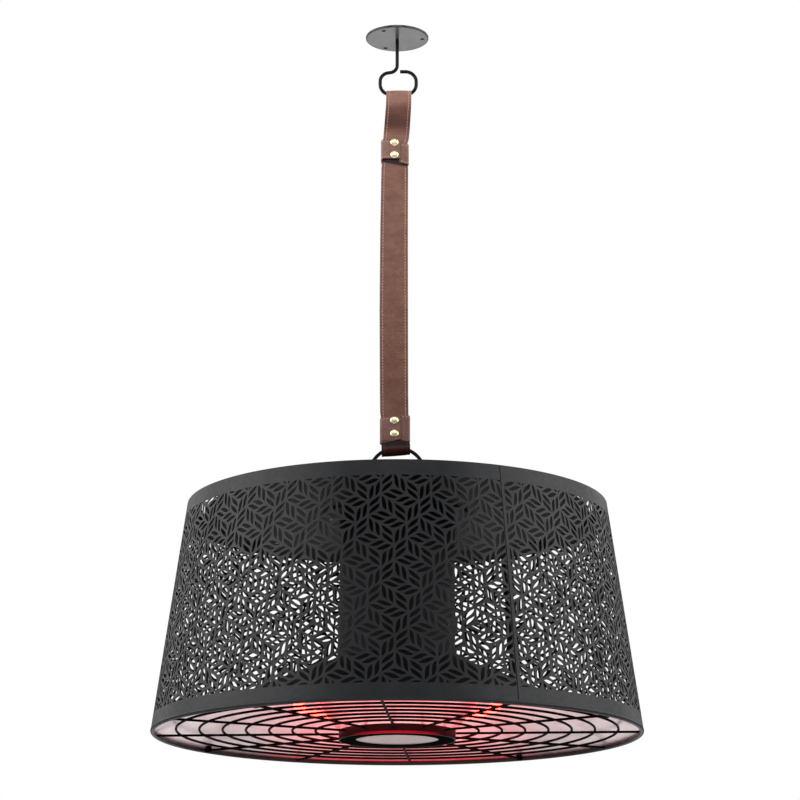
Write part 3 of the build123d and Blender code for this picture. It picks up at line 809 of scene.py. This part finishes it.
def leather_paint(name, tint, strap_shading):
    """Brown leather with pores and soft cross creases, and with painted shade and painted
    highlights.
    """
    paint = Paint(name, roughness=0.42, Specular_IOR_Level=0.3)
    creases = paint.noise(1.0, detail=4, rough=0.55, place=paint.stretch((26, 26, 60)))
    grain = paint.noise(170.0, detail=5, rough=0.65)
    tone = paint.calculate("ADD", paint.calculate("MULTIPLY", creases, 0.6),
                           paint.calculate("MULTIPLY", grain, 0.4))
    colour = paint.ramp(tone, [(0.3, (0.150, 0.066, 0.049)), (0.5, (0.215, 0.104, 0.078)),
                               (0.7, (0.290, 0.155, 0.120))])
    colour = paint.blend("MULTIPLY", colour, paint.ramp(grain, [(0.4, tint), (0.6, tint)]))
    if strap_shading:
        # Painted shade and highlights by height: dark round the ring, a painted shadow under the
        # lower keeper, darker towards the bottom, a painted shade band below the hook, and a
        # painted highlight where the strap bends over it
        painted_height_shading = paint.ramp(paint.spread(paint.along("Z"), *STRAP_HEIGHTS),
                           [(0.0, (0.13, 0.10, 0.10)), (0.045, (0.22, 0.10, 0.08)),
                            (0.078, (0.17, 0.06, 0.05)), (0.088, (0.03, 0.02, 0.02)),
                            (0.1, (0.03, 0.02, 0.02)), (0.108, (0.66, 0.61, 0.57)),
                            (0.25, (0.70, 0.64, 0.59)), (0.48, (0.84, 0.81, 0.80)),
                            (0.7, (0.93, 0.94, 0.95)), (0.872, (0.95, 0.94, 0.94)),
                            (0.892, (0.50, 0.38, 0.36)), (0.905, (0.32, 0.19, 0.17)),
                            (0.938, (0.62, 0.54, 0.50)), (0.958, (1.1, 1.14, 1.2)),
                            (0.99, (1.7, 1.85, 1.9))])
        colour = paint.blend("MULTIPLY", colour, painted_height_shading, paint.flap_shadow())
    else:
        # Painted highlight along the flap's end, and a painted shadow just beside it
        edge = paint.ramp(paint.spread(paint.along("X"), 0.0030, 0.0070),
                          [(0.0, WHITE), (0.25, grey(1.12)), (0.33, (0.62, 0.58, 0.57)),
                           (0.45, (0.8, 0.78, 0.77)), (0.7, (0.97, 0.96, 0.96))])
        # Painted shade, darker towards the lower keeper
        shade = paint.ramp(paint.spread(paint.along("Z"), -0.550, -0.150),
                           [(0.0, (0.68, 0.64, 0.66)), (1.0, (0.87, 0.90, 0.90))])
        colour = paint.blend("MULTIPLY", colour, edge, shade)
    paint.colour(colour)
    paint.roughness_by(grain, 0.38, 0.54)
    paint.bump(creases, 0.0007, 0.7)
    paint.bump(paint.cells(620.0), 0.0002)
    paint.bump(grain, 0.0002)
    return paint.material


def thread_paint(name, shaded):
    """Pale twisted thread with painted shade by height; under the upper keeper the strap's own
    also has a painted shadow.
    """
    paint = Paint(name, roughness=0.7, Specular_IOR_Level=0.15)
    twist = paint.noise(1.0, detail=3, place=paint.stretch((500, 500, 900)))
    colour = paint.ramp(twist, [(0.3, (0.38, 0.235, 0.195)), (0.7, (0.52, 0.345, 0.295))])
    # Painted shade by height, as on the strap: dark round the ring and under the lower keeper,
    # and a band below the hook
    shade = paint.ramp(paint.spread(paint.along("Z"), *STRAP_HEIGHTS),
                       [(0.0, (0.12, 0.09, 0.09)), (0.1, (0.12, 0.09, 0.09)),
                        (0.108, grey(0.85)), (0.86, WHITE), (0.903, (0.6, 0.56, 0.55)),
                        (0.96, WHITE)])
    colour = paint.blend("MULTIPLY", colour, shade)
    if shaded:
        colour = paint.blend("MULTIPLY", colour, paint.flap_shadow())
    paint.colour(colour)
    paint.bump(twist, 0.0002)
    return paint.material


def metal_paint(name, dark, light, roughness):
    """Metal with a fine tumbled grain."""
    paint = Paint(name, roughness=roughness, metallic=1.0)
    grain = paint.noise(120.0, detail=5, rough=0.6)
    paint.colour_by(grain, [(0.3, dark), (0.7, light)])
    paint.roughness_by(paint.noise(45.0, detail=4), roughness - 0.06, roughness + 0.08)
    paint.bump(grain, 0.00004)
    return paint.material


def plastic_paint(name, dark, light, roughness, pores=700.0):
    """Moulded plastic or ceramic with a fine surface."""
    paint = Paint(name, roughness=roughness)
    paint.colour_by(paint.noise(35.0, detail=5), [(0.35, dark), (0.65, light)])
    paint.roughness_by(paint.noise(pores / 4, detail=3), roughness - 0.04, roughness + 0.06)
    paint.bump(paint.cells(pores), 0.00005)
    return paint.material


def plate_paint():
    """Grey enamel, with painted shade at the rim and in the screw holes."""
    paint = Paint("plate_grey", roughness=0.2, metallic=0.7)
    tone = paint.ramp(paint.noise(50.0, detail=5),
                      [(0.35, (0.25, 0.253, 0.258)), (0.65, (0.29, 0.293, 0.30))])
    # Painted shade, darker towards the rim
    rim = paint.ramp(paint.spread(paint.gap_to([(0, 0)]), 0.0380, 0.0415),
                     [(0.0, WHITE), (0.45, grey(0.8)), (0.8, grey(0.12))])
    turns = [math.radians(bearing) for bearing in PLATE_HOLE_BEARINGS]
    places = [(PLATE_HOLE_CIRCLE * math.sin(a), -PLATE_HOLE_CIRCLE * math.cos(a)) for a in turns]
    # Painted shade in and round the screw holes
    hole_shade = paint.ramp(paint.spread(paint.gap_to(places), 0.0026, 0.0032),
                       [(0.0, grey(0.005)), (1.0, WHITE)])
    paint.colour(paint.blend("MULTIPLY", tone, rim, hole_shade))
    paint.roughness_by(paint.noise(200.0, detail=3), 0.16, 0.26)
    paint.bump(paint.noise(800.0, detail=2), 0.00005)
    return paint.material


def reflector_paint():
    """Pink-tinted aluminium, with the element's red light and its reflection on the far side
    painted on.
    """
    paint = Paint("reflector_bright", roughness=0.34, metallic=0.85)
    streaks = paint.noise(1.0, detail=4, rough=0.6, place=paint.stretch((30, 30, 260)))
    # Pink tint: painted red light from the element
    paint.colour_by(streaks, [(0.3, (0.62, 0.53, 0.54)), (0.7, (0.80, 0.70, 0.71))])
    paint.roughness_by(paint.noise(60.0, detail=4), 0.28, 0.42)
    paint.bump(streaks, 0.0001)
    # Painted light: the element's red glow on the reflector, fading outwards
    glow = paint.ramp(paint.spread(paint.gap_to([(0, 0)]), 0.070, 0.300),
                      [(0.0, (0.55, 0.004, 0.012)), (0.18, (0.62, 0.010, 0.020)),
                       (0.30, (0.45, 0.02, 0.03)), (0.5, (0.16, 0.035, 0.04)),
                       (0.85, (0.05, 0.03, 0.032)), (1.0, (0.04, 0.02, 0.02))])
    # Painted reflection of the element on the far side, kept to the middle by the mask below
    painted_reflection = paint.ramp(paint.spread(paint.along("Y"), 0.07, 0.29),
                          [(0.0, BLACK), (0.3, (0.55, 0.0, 0.006)), (0.75, (0.80, 0.008, 0.016)),
                           (1.0, (0.55, 0.002, 0.008))])
    aside = paint.calculate("ABSOLUTE", paint.along("X"))
    middle = paint.ramp(paint.spread(aside, 0.06, 0.19), [(0.0, WHITE), (1.0, BLACK)])
    paint.glow(paint.blend("ADD", glow, paint.blend("MULTIPLY", painted_reflection, middle)))
    return paint.material


def element_paint():
    """Heating tube at working heat, a little uneven."""
    paint = Paint("element_glow", roughness=0.5)
    mottle = paint.noise(30.0, detail=3)
    paint.colour_by(mottle, [(0.3, (0.5, 0.08, 0.03)), (0.7, (0.7, 0.14, 0.05))])
    glow = paint.ramp(mottle, [(0.3, (1.0, 0.018, 0.014)), (0.7, (1.0, 0.028, 0.022))])
    paint.glow(glow, 28.0)
    return paint.material


def housing_paint():
    """Black shell with a painted red glow, standing for the element's light, along the front of
    its lower edge.
    """
    paint = Paint("housing_black", roughness=0.5, Specular_IOR_Level=0.1)
    paint.colour_by(paint.noise(60.0, detail=6),
                    [(0.35, (0.002, 0.0015, 0.0015)), (0.65, (0.004, 0.003, 0.003))])
    paint.roughness_by(paint.noise(220.0, detail=3), 0.45, 0.56)
    paint.bump(paint.noise(900.0, detail=2), 0.00005)
    # Painted light: a red band of the element's glow at the lower edge, only at the front
    band = paint.ramp(paint.spread(paint.along("Z"), -0.9228, -0.9180),
                      [(0.0, (0.40, 0.001, 0.014)), (0.55, (0.46, 0.001, 0.016)), (0.68, BLACK)])
    front = paint.ramp(paint.spread(paint.along("Y"), -0.0700, -0.0460),
                       [(0.0, WHITE), (1.0, BLACK)])
    paint.glow(paint.blend("MULTIPLY", band, front))
    return paint.material


def lens_paint():
    """Frosted cover with a faint warm veil."""
    paint = Paint("lens_pale", roughness=0.35, Specular_IOR_Level=0.25)
    veil = paint.noise(26.0, detail=5, rough=0.6)
    paint.colour_by(veil, [(0.35, (0.33, 0.24, 0.24)), (0.65, (0.42, 0.31, 0.31))])
    paint.roughness_by(paint.noise(150.0), 0.3, 0.42)
    paint.bump(paint.cells(900.0), 0.00004)
    return paint.material


def dress(material, *names):
    """Give CAD nodes their material."""
    for name in names:
        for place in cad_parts[name].material_slots:
            place.material = material


def make_finishes():
    """Dress every CAD node that stays, and return the coats of the shade's sheets and strips."""
    black = powder_coat("shade_black", (0.0060, 0.0066, 0.0080), (0.0090, 0.0098, 0.0116),
                        0.42, 0.24)
    inner = powder_coat("inner_black", (0.005, 0.005, 0.0055), (0.009, 0.009, 0.010), 0.5, 0.2)
    guard = powder_coat("guard_black", grey(0.001), (0.0025, 0.0022, 0.0022), 0.65, 0.03)
    wire = powder_coat("wire_black", (0.003, 0.003, 0.0035), (0.006, 0.006, 0.0065), 0.42, 0.15)
    bezel = powder_coat("bezel_black", grey(0.003), (0.005, 0.005, 0.006), 0.75, 0.0)
    steel = metal_paint("bright_steel", (0.52, 0.53, 0.55), (0.66, 0.67, 0.69), 0.28)
    chassis = metal_paint("chassis_steel", (0.38, 0.39, 0.40), (0.50, 0.51, 0.52), 0.40)
    dress(black, "top_flange", "bottom_hem")
    dress(inner, "top_disc", "disc_brackets", "column_tube", "column_collar", "casing_cone")
    dress(wire, "ceiling_hook", "suspension_ring")
    dress(guard, "guard_spokes", "guard_rings", "guard_clips")
    dress(bezel, "lens_bezel")
    dress(steel, "eye_bolt", "eye_washer", "eye_lock_nut", "bracket_screws", "column_screws",
          "terminal_nuts", "spigot_screws", "thermal_cutout", "element_holders", "board_posts")
    dress(chassis, "housing_spigot", "chassis_plate")
    dress(plate_paint(), "ceiling_plate")
    dress(reflector_paint(), "reflector")
    dress(element_paint(), "heating_ring")
    dress(housing_paint(), "housing_shell")
    dress(lens_paint(), "lamp_lens")
    dress(plastic_paint("ceramic_white", (0.66, 0.64, 0.60), (0.76, 0.74, 0.70), 0.3),
          "terminal_bushings")
    dress(plastic_paint("fibre_white", (0.58, 0.56, 0.52), (0.72, 0.70, 0.66), 0.9, pores=300.0),
          "insulation_pad")
    dress(plastic_paint("board_green", (0.010, 0.07, 0.03), (0.016, 0.10, 0.045), 0.35),
          "led_board")
    dress(plastic_paint("chip_yellow", (0.75, 0.62, 0.12), (0.85, 0.72, 0.2), 0.3), "led_chips")
    dress(plastic_paint("control_grey", (0.14, 0.145, 0.15), (0.19, 0.195, 0.20), 0.5),
          "control_box")
    dress(plastic_paint("block_white", (0.60, 0.60, 0.58), (0.70, 0.70, 0.68), 0.45),
          "terminal_block")
    dress(plastic_paint("gland_black", (0.010, 0.010, 0.011), (0.018, 0.018, 0.019), 0.5),
          "cable_gland", "gland_lock_nut")
    return black, inner


make_camera()
make_world()
make_stage()
for lamp in LAMPS:
    softbox(*lamp)
make_shade(*make_finishes())
make_strap(leather_paint("strap_leather", (1.0, 0.93, 0.88), strap_shading=True),
           leather_paint("keeper_leather", (1.22, 1.24, 1.25), strap_shading=False),
           thread_paint("strap_thread", shaded=True), thread_paint("keeper_thread", shaded=False))
make_rivets(metal_paint("rivet_brass", (0.93, 0.83, 0.48), (1.0, 0.94, 0.66), 0.33))
